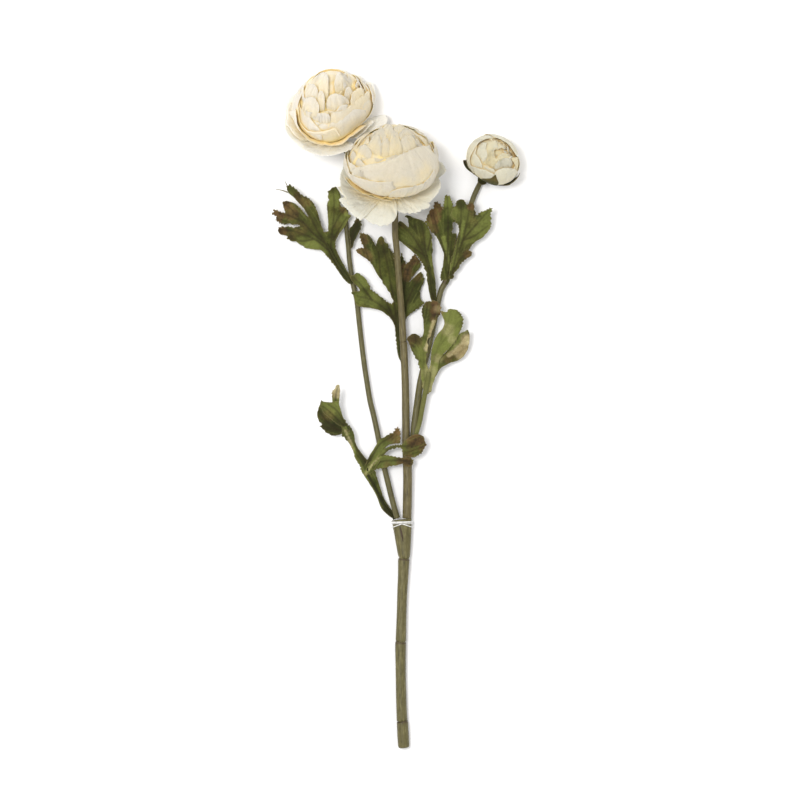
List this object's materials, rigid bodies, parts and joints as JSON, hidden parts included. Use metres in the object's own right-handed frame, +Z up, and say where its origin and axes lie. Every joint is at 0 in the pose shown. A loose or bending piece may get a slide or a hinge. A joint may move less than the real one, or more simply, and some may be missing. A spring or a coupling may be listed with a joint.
{
  "type": "artificial ranunculus spray",
  "caption": "Artificial ranunculus spray lying flat: a jointed stem that forks to open many-petalled flowers and a bud, with cut leaves and a binding tie.",
  "frame": {"origin": "centre of the overall box at its base, on the surface the spray lies on", "axes": "+Y along the stem towards the flowers, +Z up off the surface, +X to the bud's side"},
  "size_m": [0.2028, 0.5498, 0.0749],
  "materials": {
    "bud_fabric": "cream fabric tinted peach",
    "calyx_fabric": "printed polyester, olive",
    "heart_fabric": "cream fabric, yellow at the heart",
    "leaf_fabric": "printed polyester, green with brown tips",
    "outer_fabric": "matte cream fabric, paler outer petals with frayed edges",
    "petal_fabric": "matte cream fabric, warm yellow towards the base",
    "stem_branch": "olive soft plastic, satin",
    "stem_brown": "brownish olive soft plastic, satin",
    "stem_plastic": "khaki-olive soft plastic, satin",
    "tie": "white, semi-matte"
  },
  "bodies": {
    "root": {"bract_left": "leaf_fabric", "bud_calyx": "calyx_fabric", "bud_heart": "heart_fabric", "bud_round_1": "bud_fabric", "bud_round_2": "bud_fabric", "centre_stem": "stem_brown", "flower_a_calyx": "calyx_fabric", "flower_a_heart": "heart_fabric", "flower_a_round_1": "outer_fabric", "flower_a_round_2": "petal_fabric", "flower_a_round_3": "petal_fabric", "flower_a_round_4": "petal_fabric", "flower_a_round_5": "petal_fabric", "flower_a_round_6": "petal_fabric", "flower_b_calyx": "calyx_fabric", "flower_b_heart": "heart_fabric", "flower_b_round_1": "outer_fabric", "flower_b_round_2": "petal_fabric", "flower_b_round_3": "petal_fabric", "flower_b_round_4": "petal_fabric", "flower_b_round_5": "petal_fabric", "flower_b_round_6": "petal_fabric", "flower_b_round_7": "petal_fabric", "leaf_centre": "leaf_fabric", "leaf_lower_left": "leaf_fabric", "leaf_lower_right": "leaf_fabric", "leaf_right_inner": "leaf_fabric", "leaf_right_tall": "leaf_fabric", "leaf_upper_left": "leaf_fabric", "left_branch": "stem_branch", "main_stem": "stem_plastic", "right_branch": "stem_branch", "tie_band": "tie"}
  },
  "joints": []
}
